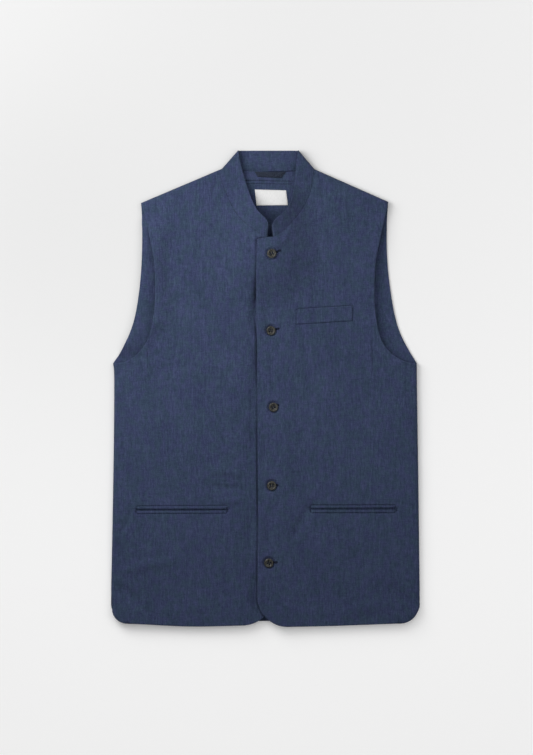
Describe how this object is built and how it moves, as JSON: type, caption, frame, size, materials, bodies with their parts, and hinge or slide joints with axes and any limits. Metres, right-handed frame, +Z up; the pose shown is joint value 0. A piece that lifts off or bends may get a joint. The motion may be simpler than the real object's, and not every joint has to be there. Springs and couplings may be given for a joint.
{
  "type": "nehru jacket",
  "caption": "Sleeveless nehru jacket laid flat and buttoned: stand collar, chest welt, two jetted pockets, side vents and a round cutaway hem.",
  "frame": {"origin": "on the surface that the jacket lies on, under the middle of its box", "axes": "+Z up, away from the surface; +Y along the jacket, from hem to collar; +X across it, towards the wearer's left"},
  "size_m": [0.5108, 0.7865, 0.0418],
  "materials": {
    "linen": "plain-woven navy linen with slubs, matt",
    "tape": "dark cotton tape",
    "label": "plain off-white woven tape, blank",
    "horn": "dark horn, softly polished"
  },
  "bodies": {
    "root": {"back": "linen", "front_right": "linen", "front_left": "linen", "collar": "linen", "chest_welt": "linen", "pocket_jet_right_upper": "linen", "pocket_jet_right_lower": "linen", "pocket_jet_left_upper": "linen", "pocket_jet_left_lower": "linen", "label": "label", "hanger_loop": "tape", "button_1": "horn", "button_2": "horn", "button_3": "horn", "button_4": "horn", "button_5": "horn"}
  },
  "joints": []
}
